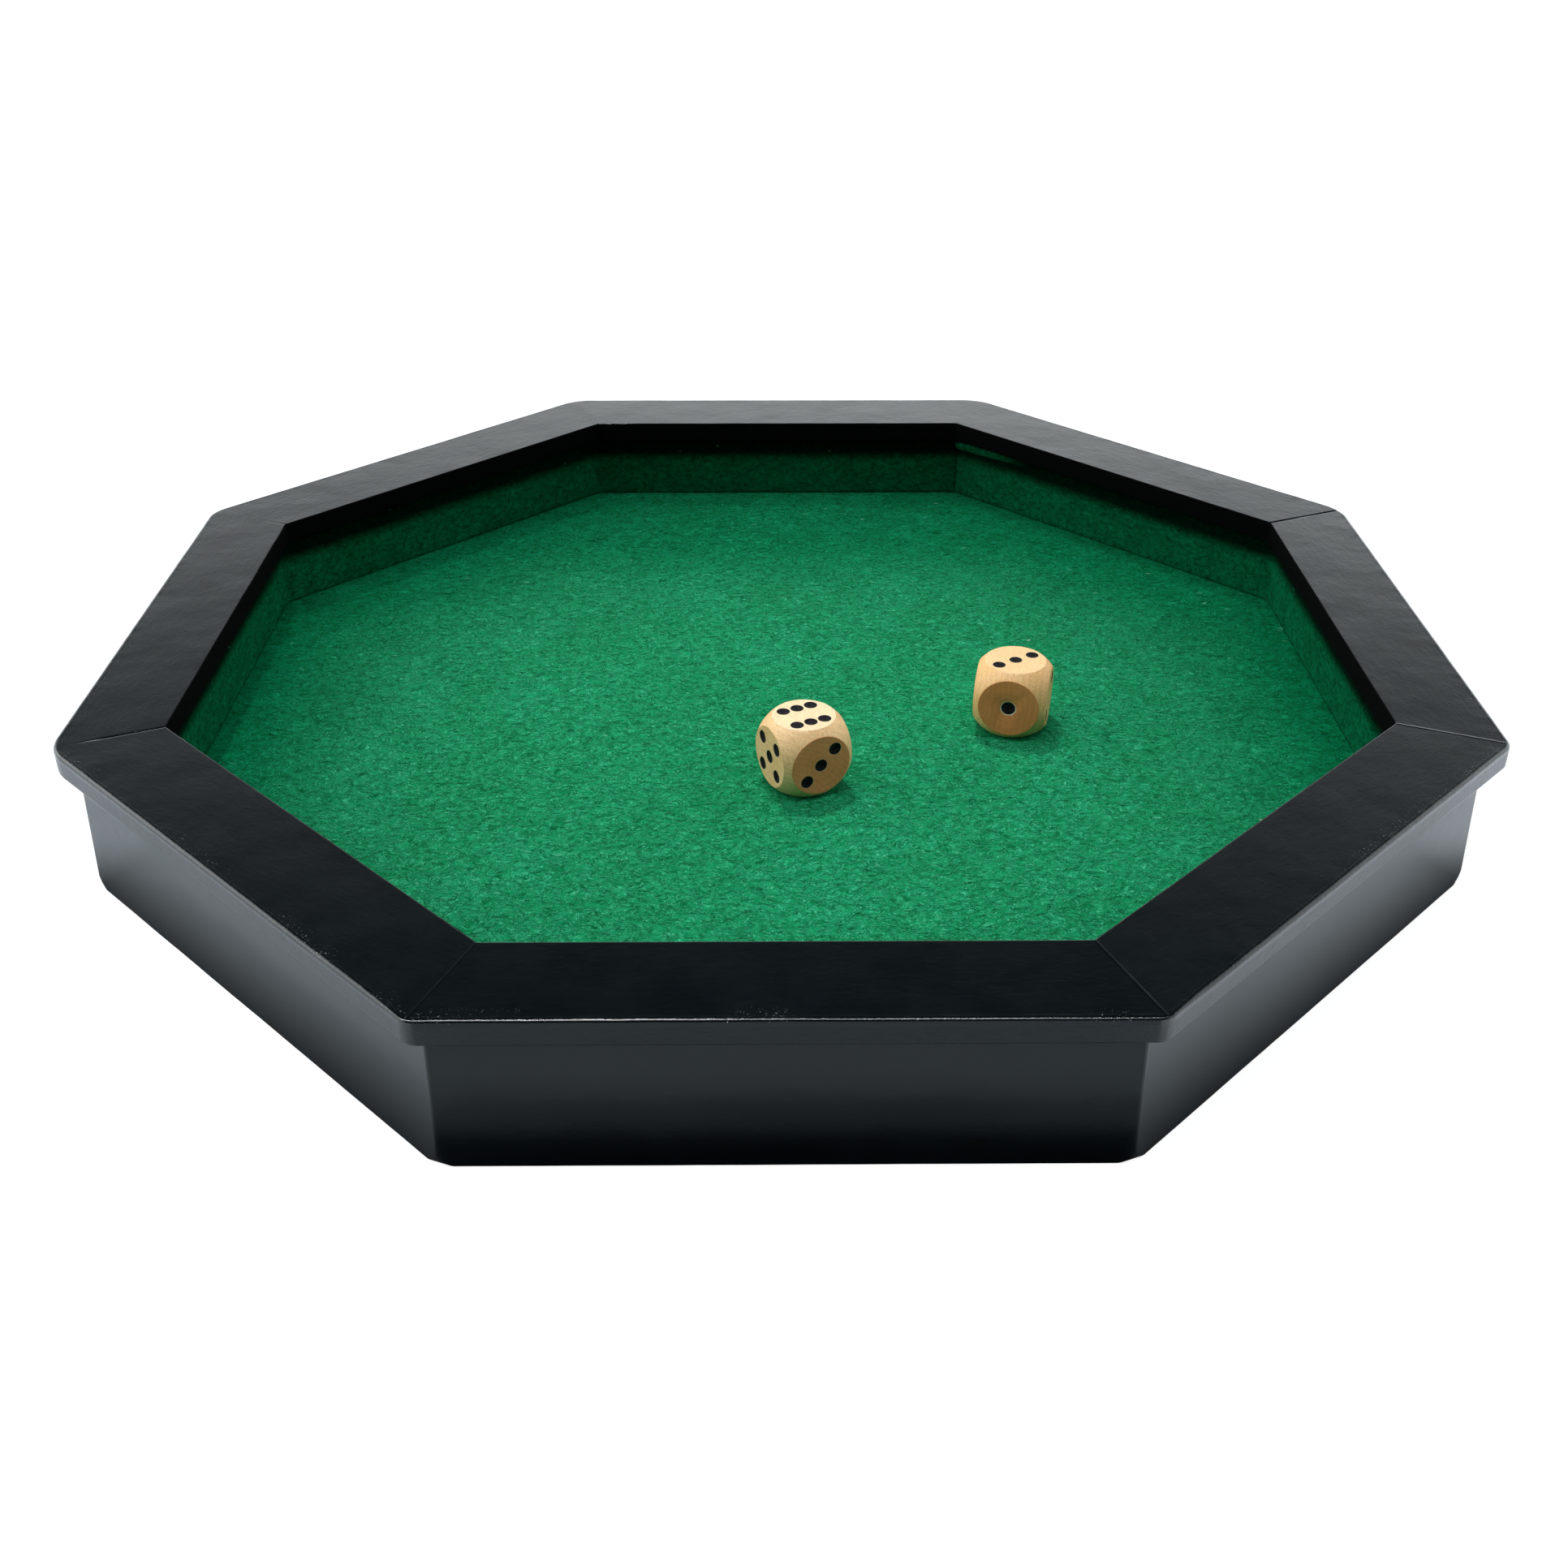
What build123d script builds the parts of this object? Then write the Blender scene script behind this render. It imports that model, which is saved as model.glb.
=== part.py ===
"""Octagonal dice tray with two wooden dice.

Eight flat rails lie on eight upright boards, all mitred at the corners. The boards hold a base
panel in a groove, above the table, and the tray is lined with felt. Two dice stand on the felt.
Millimetres, +Z up. The origin is the middle of the tray on the table, and the front board faces -Y.
"""

from build123d import *
from math import atan, cos, degrees, radians, sin
import os

os.makedirs("parts", exist_ok=True)

# The octagon, clockwise seen from above, starting at the front board
SIDE_NAMES = ("front", "front_left", "left", "back_left", "back", "back_right", "right", "front_right")
SIDE_COUNT = len(SIDE_NAMES)
SIDE_ANGLE = 360 / SIDE_COUNT  # turn from one board to the next
FRONT_ANGLE = -90  # direction that the front board faces

# Rim, the flat rails on top
RIM_ACROSS_FLATS = 286.0
RIM_WIDTH = 20.5
RIM_THICKNESS = 5.0
RIM_CORNER_RADIUS = 12.0  # outer corners of the octagon, seen from above
RIM_OUTER_EASE = 1.5  # round on the outer top edge
RIM_INNER_EASE = 0.8  # round on the edge that the hand meets inside
RIM_LOWER_BREAK = 0.5  # small bevel under the overhang

# Upright boards
BOARD_HEIGHT = 28.6
BOARD_THICKNESS = 11.8  # at the top
BOARD_LEAN = 1.0  # how far the outer face stands out more at the foot than at the top
RIM_OVERHANG = 4.2  # rim past the board's outer face, at the top
BOARD_EDGE_EASE = 0.8  # round on the upright corner edges
FOOT_EASE_HEIGHT = 6.0  # lower end of each corner, sanded round
FOOT_EASE_DEPTH = 1.8

# Base panel in its groove
BASE_THICKNESS = 4.0
BASE_HEIGHT = 6.0  # table to the underside of the panel
GROOVE_DEPTH = 5.0
GROOVE_PLAY = 0.1  # groove is this much taller than the panel
BASE_EDGE_PLAY = 0.6  # panel stops this far short of the bottom of the groove

# Felt lining
FLOOR_FELT_THICKNESS = 1.5
WALL_FELT_THICKNESS = 1.5
GLUE_LINE = 0.1  # felt to wood
FELT_EDGE_GAP = 0.3  # floor sheet to the boards
FELT_TOP_GAP = 0.6  # strip to the underside of the rim
FELT_SEAM_GAP = 0.4  # where the two ends of the strip meet
FELT_SEAM_SIDE = SIDE_NAMES.index("back_right")  # the seam is at this board's end by the back board

# Dice
DIE_SIZE = 16.0
DIE_BALL_RADIUS = 10.4  # the ball that takes off the corners and edges
PIP_SPACING = 3.2  # from the middle of a face to its outer pips
PIP_DIAMETER = 2.5
ACE_DIAMETER = 3.3  # the single pip is larger
PIP_DEPTH = 0.35
PIP_SIDES = 12  # each round recess is cut with this many sides
LEFT_DIE_AT = (4.6, -36.0)
LEFT_DIE_TURN = 26.0
RIGHT_DIE_AT = (51.8, -11.4)
RIGHT_DIE_TURN = -14.8

# Sizes that follow
RIM_APOTHEM = RIM_ACROSS_FLATS / 2
RIM_INNER_APOTHEM = RIM_APOTHEM - RIM_WIDTH
BOARD_APOTHEM = RIM_APOTHEM - RIM_OVERHANG
FOOT_APOTHEM = BOARD_APOTHEM + BOARD_LEAN
INSIDE_APOTHEM = BOARD_APOTHEM - BOARD_THICKNESS
GROOVE_APOTHEM = INSIDE_APOTHEM + GROOVE_DEPTH
BASE_APOTHEM = GROOVE_APOTHEM - BASE_EDGE_PLAY
FLOOR_FELT_HEIGHT = BASE_HEIGHT + BASE_THICKNESS + GLUE_LINE
PLAY_HEIGHT = FLOOR_FELT_HEIGHT + FLOOR_FELT_THICKNESS  # where the dice stand
CORNER_RATIO = 1 / cos(radians(SIDE_ANGLE / 2))  # corner radius of the octagon over its apothem
OCTAGON_TURN = FRONT_ANGLE + SIDE_ANGLE / 2  # direction of one corner


def octagon(apothem, mode=Mode.ADD):
    """Draws a regular octagon with a flat side to the front in the open sketch."""
    return RegularPolygon(apothem, SIDE_COUNT, major_radius=False, rotation=OCTAGON_TURN, mode=mode)


def side_angle(side):
    """Direction that a side faces, in degrees."""
    return FRONT_ANGLE - side * SIDE_ANGLE


def mitre_plane(angle, inward_turn):
    """Upright plane through the middle of the tray, with its kept side inward_turn degrees on."""
    facing = radians(angle + inward_turn)
    return Plane(origin=(0, 0, 0), z_dir=(cos(facing), sin(facing), 0))


def cut_between_mitres(side):
    """Keeps the one side of the ring in the open part that lies between its two mitres."""
    split(bisect_by=mitre_plane(side_angle(side) - SIDE_ANGLE / 2, 90))
    split(bisect_by=mitre_plane(side_angle(side) + SIDE_ANGLE / 2, -90))


def write(part, node):
    part.label = node
    export_step(part, f"parts/{node}.step")


# Rim: the whole ring with its rounded edges, which the mitres then cut into eight rails
with BuildPart() as rim_ring:
    with BuildSketch(Plane.XY.offset(BOARD_HEIGHT)) as rim_plan:
        octagon(RIM_APOTHEM)
        fillet(rim_plan.vertices(), RIM_CORNER_RADIUS)
        octagon(RIM_INNER_APOTHEM, mode=Mode.SUBTRACT)
    extrude(amount=RIM_THICKNESS)
    rim_top = rim_ring.faces().sort_by(Axis.Z)[-1]
    fillet(rim_top.outer_wire().edges(), RIM_OUTER_EASE)
    fillet(rim_ring.faces().sort_by(Axis.Z)[-1].inner_wires()[0].edges(), RIM_INNER_EASE)
    chamfer(rim_ring.faces().sort_by(Axis.Z)[0].outer_wire().edges(), RIM_LOWER_BREAK)

for side, side_name in enumerate(SIDE_NAMES):
    with BuildPart() as rim_rail:
        add(rim_ring.part)
        cut_between_mitres(side)
    write(rim_rail.part, f"rim_rail_{side_name}")

# Boards: a leaning ring with a groove, sanded round at the foot of each corner
with BuildPart() as board_ring:
    with BuildSketch() as foot_plan:
        octagon(FOOT_APOTHEM)
    extrude(amount=BOARD_HEIGHT, taper=degrees(atan(BOARD_LEAN / BOARD_HEIGHT)))
    corner_edges = board_ring.edges().filter_by(lambda edge: abs(edge.tangent_at(0.5).Z) > 0.5)
    fillet(corner_edges, BOARD_EDGE_EASE)
    with BuildSketch(Plane.XZ) as foot_section:
        with BuildLine() as foot_outline:
            corner_radius = FOOT_APOTHEM * CORNER_RATIO
            foot_radius = corner_radius - FOOT_EASE_DEPTH
            round_end = FOOT_EASE_HEIGHT
            side_line = Line((corner_radius, BOARD_HEIGHT), (corner_radius, round_end))
            foot_round = TangentArc(side_line @ 1, (foot_radius, 0), tangent=side_line % 1)
            Polyline(foot_round @ 1, (0, 0), (0, BOARD_HEIGHT), side_line @ 0)
        make_face()
    revolve(axis=Axis.Z, mode=Mode.INTERSECT)
    with BuildSketch() as inside_plan:
        octagon(INSIDE_APOTHEM)
    extrude(amount=BOARD_HEIGHT, mode=Mode.SUBTRACT)
    with BuildSketch(Plane.XY.offset(BASE_HEIGHT)) as groove_plan:
        octagon(GROOVE_APOTHEM)
    extrude(amount=BASE_THICKNESS + GROOVE_PLAY, mode=Mode.SUBTRACT)

for side, side_name in enumerate(SIDE_NAMES):
    with BuildPart() as wall_board:
        add(board_ring.part)
        cut_between_mitres(side)
    write(wall_board.part, f"wall_board_{side_name}")

# Base panel
with BuildPart() as base_panel:
    with BuildSketch(Plane.XY.offset(BASE_HEIGHT)) as base_plan:
        octagon(BASE_APOTHEM)
    extrude(amount=BASE_THICKNESS)
write(base_panel.part, "base_panel")

# Felt on the base
with BuildPart() as floor_felt:
    with BuildSketch(Plane.XY.offset(FLOOR_FELT_HEIGHT)) as floor_felt_plan:
        octagon(INSIDE_APOTHEM - FELT_EDGE_GAP)
    extrude(amount=FLOOR_FELT_THICKNESS)
write(floor_felt.part, "floor_felt")

# Felt round the boards: one strip that stands on the floor felt, its ends butted in a corner
strip_outer_apothem = INSIDE_APOTHEM - GLUE_LINE
strip_inner_apothem = strip_outer_apothem - WALL_FELT_THICKNESS
seam_angle = radians(side_angle(FELT_SEAM_SIDE) + SIDE_ANGLE / 2)
seam_direction = (cos(seam_angle), sin(seam_angle), 0)
seam_cut_depth = 4 * WALL_FELT_THICKNESS  # in and out of the corner, well past the strip
with BuildPart() as wall_felt:
    with BuildSketch(Plane.XY.offset(PLAY_HEIGHT)) as strip_plan:
        octagon(strip_outer_apothem)
        octagon(strip_inner_apothem, mode=Mode.SUBTRACT)
    extrude(amount=BOARD_HEIGHT - FELT_TOP_GAP - PLAY_HEIGHT)
    with BuildSketch(Plane(origin=(0, 0, PLAY_HEIGHT), x_dir=seam_direction)) as seam_plan:
        with Locations((strip_outer_apothem * CORNER_RATIO, 0)):
            Rectangle(seam_cut_depth, FELT_SEAM_GAP)
    extrude(amount=BOARD_HEIGHT - PLAY_HEIGHT, mode=Mode.SUBTRACT)
write(wall_felt.part, "wall_felt")

# Dice: the pips of each number, in steps across and along a face
PIPS = {
    1: ((0, 0),),
    2: ((-1, -1), (1, 1)),
    3: ((-1, -1), (0, 0), (1, 1)),
    4: ((-1, -1), (-1, 1), (1, -1), (1, 1)),
    5: ((-1, -1), (-1, 1), (0, 0), (1, -1), (1, 1)),
    6: ((-1, -1), (0, -1), (1, -1), (-1, 1), (0, 1), (1, 1)),
}

# The outward direction of each face, and the direction across it
FACES = {
    "up": (Vector(0, 0, 1), Vector(1, 0, 0)),
    "down": (Vector(0, 0, -1), Vector(1, 0, 0)),
    "front": (Vector(0, -1, 0), Vector(1, 0, 0)),
    "back": (Vector(0, 1, 0), Vector(-1, 0, 0)),
    "right": (Vector(1, 0, 0), Vector(0, 1, 0)),
    "left": (Vector(-1, 0, 0), Vector(0, -1, 0)),
}


def make_die(node, place, turn, numbers):
    """Writes one die: a cube cut round by a ball, with a shallow flat recess for each pip."""
    middle = Vector(place[0], place[1], PLAY_HEIGHT + DIE_SIZE / 2)
    facing = Vector(1, 0, 0).rotate(Axis.Z, turn)
    with BuildPart(Plane(origin=middle, x_dir=facing)) as die:
        Box(DIE_SIZE, DIE_SIZE, DIE_SIZE)
        Sphere(DIE_BALL_RADIUS, mode=Mode.INTERSECT)
        for face, number in numbers.items():
            outward, across = (way.rotate(Axis.Z, turn) for way in FACES[face])
            pip_radius = (ACE_DIAMETER if number == 1 else PIP_DIAMETER) / 2
            with BuildSketch(Plane(origin=middle + outward * (DIE_SIZE / 2), x_dir=across, z_dir=outward)):
                with Locations(*[(u * PIP_SPACING, v * PIP_SPACING) for u, v in PIPS[number]]):
                    RegularPolygon(pip_radius, PIP_SIDES)
            extrude(amount=-PIP_DEPTH, mode=Mode.SUBTRACT)
    write(die.part, node)


make_die(
    "die_left",
    LEFT_DIE_AT,
    LEFT_DIE_TURN,
    {"up": 6, "down": 1, "front": 3, "back": 4, "right": 2, "left": 5},
)
make_die(
    "die_right",
    RIGHT_DIE_AT,
    RIGHT_DIE_TURN,
    {"up": 3, "down": 4, "front": 1, "back": 6, "right": 2, "left": 5},
)
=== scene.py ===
# %% [markdown]
# # An octagonal dice tray
# Eight flat rails lie on eight upright boards, mitred like a picture frame, painted black and
# lined with green felt. Two wooden dice lie on the felt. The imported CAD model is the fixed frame:
# it says where everything is, and this lesson dresses it.

# %% Load the frame
import math
import random

import bmesh
import bpy
from mathutils import Matrix, Vector, noise


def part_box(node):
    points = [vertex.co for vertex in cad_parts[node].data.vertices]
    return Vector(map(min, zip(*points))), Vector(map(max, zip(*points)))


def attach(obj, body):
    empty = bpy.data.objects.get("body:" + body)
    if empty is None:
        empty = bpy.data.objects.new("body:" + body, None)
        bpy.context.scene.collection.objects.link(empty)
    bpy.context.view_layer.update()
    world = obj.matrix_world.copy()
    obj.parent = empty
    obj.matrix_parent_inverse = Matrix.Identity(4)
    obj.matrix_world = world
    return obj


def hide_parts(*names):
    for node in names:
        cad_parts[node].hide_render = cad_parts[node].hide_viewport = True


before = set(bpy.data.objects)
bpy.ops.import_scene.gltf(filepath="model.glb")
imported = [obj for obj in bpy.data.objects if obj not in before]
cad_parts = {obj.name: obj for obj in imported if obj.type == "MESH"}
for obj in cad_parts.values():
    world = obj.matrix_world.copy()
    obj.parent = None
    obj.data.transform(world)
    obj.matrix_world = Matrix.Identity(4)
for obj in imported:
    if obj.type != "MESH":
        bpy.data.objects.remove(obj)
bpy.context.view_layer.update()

# %% [markdown]
# ## Sizes from the frame
# Every size that the frame can give is read from it, so that the dressed pieces stay where the
# CAD has them. The script works in metres, and MM turns the few sizes of its own into metres.

# %% Sizes
MM = 0.001
SIDE_NAMES = ("front", "front_left", "left", "back_left", "back", "back_right", "right", "front_right")
SIDE_TURN = math.radians(45)  # from one side of the octagon to the next
MITRE_SLOPE = math.tan(SIDE_TURN / 2)

rail_low, rail_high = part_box("rim_rail_front")
RIM_OUT, RIM_IN = -rail_low.y, -rail_high.y
RIM_UNDER, RIM_TOP = rail_low.z, rail_high.z
board_low, board_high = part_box("wall_board_front")
FOOT_OUT, INSIDE = -board_low.y, -board_high.y
base_low, base_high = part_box("base_panel")
felt_low, felt_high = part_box("floor_felt")
FLOOR_TOP = felt_high.z
strip_low, strip_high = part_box("wall_felt")
print(f"rim {2 * RIM_OUT / MM:.1f} mm across flats, its top at {RIM_TOP / MM:.1f} mm")

# %% [markdown]
# ## The camera
# The camera was worked out from the rim's sixteen corners in the photograph. It stands in front
# of the tray, a little to the left, and looks down. The three directions of a camera make up the
# columns of its matrix: to the right, up, and backwards.

# %% Camera
CAMERA_AT = Vector((-2.78, -353.5, 205.3)) * MM
CAMERA_DOWN, CAMERA_YAW, CAMERA_ROLL = math.radians(31.5), math.radians(0.59), math.radians(0.13)
PHOTO_LENS, SENSOR = 40.08, 36.0

ahead = Vector((math.sin(CAMERA_YAW) * math.cos(CAMERA_DOWN),
                math.cos(CAMERA_YAW) * math.cos(CAMERA_DOWN),
                -math.sin(CAMERA_DOWN)))
level = Vector((math.cos(CAMERA_YAW), -math.sin(CAMERA_YAW), 0))
below = ahead.cross(level)
right = math.cos(CAMERA_ROLL) * level - math.sin(CAMERA_ROLL) * below
down = math.sin(CAMERA_ROLL) * level + math.cos(CAMERA_ROLL) * below

camera_data = bpy.data.cameras.new("camera")
camera_data.lens = PHOTO_LENS
camera_data.sensor_width = SENSOR
camera_data.clip_start, camera_data.clip_end = 0.01, 50
camera = bpy.data.objects.new("camera", camera_data)
bpy.context.scene.collection.objects.link(camera)
turn = Matrix((right, -down, -ahead)).transposed().to_4x4()
camera.matrix_world = Matrix.Translation(CAMERA_AT) @ turn
bpy.context.scene.camera = camera
print("camera looks down", round(math.degrees(CAMERA_DOWN), 1), "degrees")

# %% [markdown]
# ## Shader maths as Python
# A material is a tree of nodes. Wiring it by hand hides the sums in it, so a small class stands
# for one output of a node: adding, multiplying or subtracting wires adds the Math nodes, and
# node() adds any other node, with its settings first and then what goes into its sockets.

# %% The wire
class Wire:
    """One output in a node tree, on which Python arithmetic adds Math nodes."""

    def __init__(self, tree, socket=None):
        self.tree = tree
        self.socket = socket

    def node(self, kind, settings=None, inputs=None, output=0):
        """Adds a node and gives the wire from one of its outputs."""
        made = self.tree.nodes.new("ShaderNode" + kind)
        for name, value in (settings or {}).items():
            setattr(made, name, value)
        for name, value in (inputs or {}).items():
            socket = made.inputs[name]
            if isinstance(value, Wire):
                self.tree.links.new(value.socket, socket)
            elif socket.type == "RGBA":
                socket.default_value = (*value, 1)
            else:
                socket.default_value = value
        return Wire(self.tree, made.outputs[output]) if made.outputs else None

    def sibling(self, output):
        """Another output of the node that this wire comes from."""
        return Wire(self.tree, self.socket.node.outputs[output])

    def maths(self, operation, *values):
        return self.node("Math", {"operation": operation}, dict(enumerate(values)))

    def __add__(self, other):
        return self.maths("ADD", self, other)

    def __sub__(self, other):
        return self.maths("SUBTRACT", self, other)

    def __rsub__(self, other):
        return self.maths("SUBTRACT", other, self)

    def __mul__(self, other):
        return self.maths("MULTIPLY", self, other)

    def __truediv__(self, other):
        return self.maths("DIVIDE", self, other)

    def __pow__(self, other):
        return self.maths("POWER", self, other)

    __radd__ = __add__
    __rmul__ = __mul__

    def of(self, operation):
        """A function of this wire alone, such as SINE."""
        return self.maths(operation, self)

    def at_least(self, other):
        return self.maths("MAXIMUM", self, other)

    def part(self, axis):
        """The X, Y or Z of a vector."""
        return self.node("SeparateXYZ", {}, {"Vector": self}, axis)

    def rise(self, low, high):
        """Goes smoothly from 0 to 1 while the wire goes from low to high."""
        return self.node("MapRange", {"interpolation_type": "SMOOTHSTEP"},
                         {"Value": self, "From Min": low, "From Max": high})

    def blend(self, low, high):
        """Colour low where this wire is 0 and high where it is 1."""
        return self.node("Mix", {"data_type": "RGBA"}, {0: self, 6: low, 7: high}, 2)

    def tinted(self, colour):
        """This colour multiplied by another."""
        return self.node("Mix", {"data_type": "RGBA", "blend_type": "MULTIPLY"},
                         {0: 1.0, 6: self, 7: colour}, 2)

    def stretched(self, scale, turn=(0, 0, 0), shift=(0, 0, 0)):
        return self.node("Mapping", {}, {"Vector": self, "Location": shift,
                                         "Rotation": turn, "Scale": scale})

    def cloud(self, scale, detail=2, roughness=0.5, warp=0.0):
        """Noise from about 0.3 to 0.7, with grains about 1 / scale wide."""
        return self.node("TexNoise", {}, {"Vector": self, "Scale": scale, "Detail": detail,
                                          "Roughness": roughness, "Distortion": warp})

    def bump(self, depth, strength=1.0):
        """The surface's normal, bent by this wire as a height of up to depth metres."""
        return self.node("Bump", {}, {"Strength": strength, "Distance": depth, "Height": self})


def begin_finish(name):
    """A new material, and a wire that carries places in millimetres."""
    material = bpy.data.materials.new(name)
    material.use_nodes = True
    material.node_tree.nodes.clear()
    bare = Wire(material.node_tree)
    metres = bare.node("TexCoord", {}, {}, "Object")
    place = metres.node("VectorMath", {"operation": "SCALE"}, {0: metres, "Scale": 1 / MM})
    return material, place


def end_finish(place, inputs):
    """Closes a material with a Principled shader."""
    shader = place.node("BsdfPrincipled", {}, inputs)
    place.node("OutputMaterial", {}, {"Surface": shader})


print("wires are ready")

# %% [markdown]
# ## Studio: surroundings, lamps and floor
# Black lacquer shows its surroundings more than its own colour. In the photograph a pale backdrop
# stands low behind the tray and fades upwards, so the far rails, seen at a flat angle, shine
# grey while the near ones stay black. The world could be one colour, but then all rails would
# shine alike, so it is a sum: that backdrop, a light box on either side, which models the dice,
# and a high light above the camera, open in the middle, where the edge of the front rail would
# mirror it.
#
# One small lamp hangs behind the tray and lights the middle of the felt most. Under the back
# rails it leaves the felt dark. A long tube only draws the white line along the front rail's
# edge, and hangs far to the left, so that the line grows fainter to the right.
#
# The picture's white background is the floor and the sky as camera rays alone see them. Metal or
# glass would need Is Glossy Ray and Is Transmission Ray there too, but there is none here. For all
# other rays the floor carries a painted shadow, dark at the foot, and a painted glow further out,
# and the lacquer mirrors both.

# %% Surroundings
scene = bpy.context.scene
scene.view_settings.view_transform = "Standard"

world = bpy.data.worlds.new("studio")
scene.world = world
world.use_nodes = True
world.node_tree.nodes.clear()
sky = Wire(world.node_tree)
direction = sky.node("TexCoord", {}, {}, "Generated")
up, east, north = direction.part("Z"), direction.part("X"), direction.part("Y")
flat_length = (east * east + north * north + 1e-6) ** 0.5
behind = north / flat_length
aside = east / flat_length

HALO_HEIGHT = 19.2  # degrees above the horizon at which the backdrop starts to fade
HALO_LIGHT = 1.5  # where it is brightest, with paper white as 1
HALO_FADE = 0.172  # exponent per degree: six degrees leave about a third
above = (up.of("ARCSINE") * math.degrees(1) - HALO_HEIGHT).at_least(0)
halo = (above * -HALO_FADE).of("EXPONENT") * HALO_LIGHT
halo = halo * (behind.rise(-0.3, 0.9) * 0.9 + 0.1) * (aside * 0.30 + 1)

SIDE_LIGHT = 2.0
side_glow = aside.of("ABSOLUTE").rise(0.60, 0.92) * (1 - up.rise(0.54, 0.82)) * SIDE_LIGHT
side_glow = side_glow * (1 - aside * 0.45) * (behind.rise(-0.75, -0.15) * 0.75 + 0.25)
side_glow = side_glow * (up.rise(0.05, 0.35) * 0.6 + 0.4)

HIGH_LIGHT = 3.5
high_glow = up.rise(0.80, 0.94) * (1 - behind.rise(-0.4, 0.4))
high_glow = high_glow * aside.of("ABSOLUTE").rise(0.10, 0.30) * HIGH_LIGHT

DIM_LIGHT = 0.008  # of the rest of the room
seen_sky = halo + side_glow + high_glow + DIM_LIGHT
camera_sees = sky.node("LightPath", {}, {}, "Is Camera Ray")
sky_light = camera_sees * (1 - seen_sky) + seen_sky
tint = camera_sees.blend((0.935, 0.985, 1), (1, 1, 1))
background = sky.node("Background", {}, {"Color": tint, "Strength": sky_light})
sky.node("OutputWorld", {}, {"Surface": background})
print("sky of", len(world.node_tree.nodes), "nodes")

# %% Lamps
LAMP_HEIGHT = 1.2
POOL_AT, TUBE_AT = (-0.14, 0.42), (-0.55, -0.10)
POOL_RADIUS = 0.135  # of the lit circle, to its faint edge
pool_data = bpy.data.lights.new("overhead", "SPOT")
pool_data.shadow_soft_size = 0.07
pool_data.spot_size = 2 * math.atan(POOL_RADIUS / LAMP_HEIGHT)
pool_data.spot_blend = 0.5
pool_data.energy = 33.0  # watts
tube_data = bpy.data.lights.new("tube", "AREA")
tube_data.shape = "RECTANGLE"
tube_data.size, tube_data.size_y = 1.6, 0.08
tube_data.energy = 22.0
pool_middle = Vector((0, -0.03, FLOOR_TOP))
for name, data, hung_at in (("overhead", pool_data, POOL_AT), ("tube", tube_data, TUBE_AT)):
    lamp = bpy.data.objects.new(name, data)
    scene.collection.objects.link(lamp)
    lamp.location = (*hung_at, LAMP_HEIGHT)
    lamp.rotation_mode = "QUATERNION"
    aim = lamp.location - pool_middle
    if data is tube_data:
        aim.x = 0  # its long side stays level with the front edge
    lamp.rotation_quaternion = aim.to_track_quat("Z", "Y")
    lamp.visible_diffuse = data is pool_data  # the tube is there for its line alone
print("lamps:", pool_data.energy, "and", tube_data.energy, "watts")

# %% Floor
def mesh_object(name, bm, *materials, smooth_angle=None):
    """Ends a bmesh as an object at the origin."""
    mesh = bpy.data.meshes.new(name)
    bm.to_mesh(mesh)
    bm.free()
    for material in materials:
        mesh.materials.append(material)
    if smooth_angle is not None:
        mesh.shade_smooth()
        mesh.set_sharp_from_angle(angle=smooth_angle)
    made = bpy.data.objects.new(name, mesh)
    scene.collection.objects.link(made)
    return made


FLOOR_RADIUS = 4.0
PAINTED_GLOW_STRENGTH = 1.6  # the brightest that the painted glow on the floor beside the tray gets, which the lacquer mirrors
CAMERA_WHITE = 0.88 / PAINTED_GLOW_STRENGTH  # the light that falls on the floor makes it pure white

floor_paper, place = begin_finish("floor_paper")
to_right = place.part("X").rise(-20, 20)
east, north = place.part("X").of("ABSOLUTE"), place.part("Y").of("ABSOLUTE")
in_front = (north - east / MITRE_SLOPE).rise(-8, 8)
# both of these say how far out a place is from the foot of the side that it faces, in mm
beyond = ((east + north) * math.sqrt(0.5)).at_least(east) - FOOT_OUT / MM
ahead_by = north - FOOT_OUT / MM
# painted shadow: for all but camera rays the floor is coloured nearly black by the foot of the tray,
# fading out over two or three centimetres
painted_side_shadow = beyond.rise(-6, 20) * 0.8
painted_front_shadow = ahead_by.rise(5.5, 12.5) * 0.31 + ahead_by.rise(8, 28) * 0.46
painted_contact_shadow = painted_side_shadow * (1 - in_front) + painted_front_shadow * in_front
# painted glow: beside the tray, though not in front of it, the floor glows for all but camera rays,
# brighter further out
painted_side_glow = beyond.rise(-6, 26) * east.rise(0, 150) * (to_right * 0.22 + 0.60)
painted_side_glow = painted_side_glow + beyond.rise(28, 46) * (to_right * 0.24 + 0.14)
painted_side_glow = (painted_side_glow + beyond.rise(42, 50) * (0.15 - to_right * 0.15)) * (1 - in_front)
floor_seen = place.node("LightPath", {}, {}, "Is Camera Ray")
lit = painted_contact_shadow.blend((0.01, 0.01, 0.01), (0.82, 0.92, 1.0))
painted_glow_colour = (painted_side_glow * (1 / PAINTED_GLOW_STRENGTH)).blend((0, 0, 0), (0.90, 0.945, 1.0))
end_finish(place, {
    "Base Color": floor_seen.blend(lit, (0.28, 0.28, 0.28)),
    "Emission Color": floor_seen.blend(painted_glow_colour, (CAMERA_WHITE,) * 3),
    "Emission Strength": PAINTED_GLOW_STRENGTH,
    "Roughness": 0.9,
})
bm = bmesh.new()
bmesh.ops.create_circle(bm, cap_ends=True, segments=96, radius=FLOOR_RADIUS)
floor = mesh_object("floor", bm, floor_paper)
print("floor", 2 * FLOOR_RADIUS, "metres across")

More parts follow.
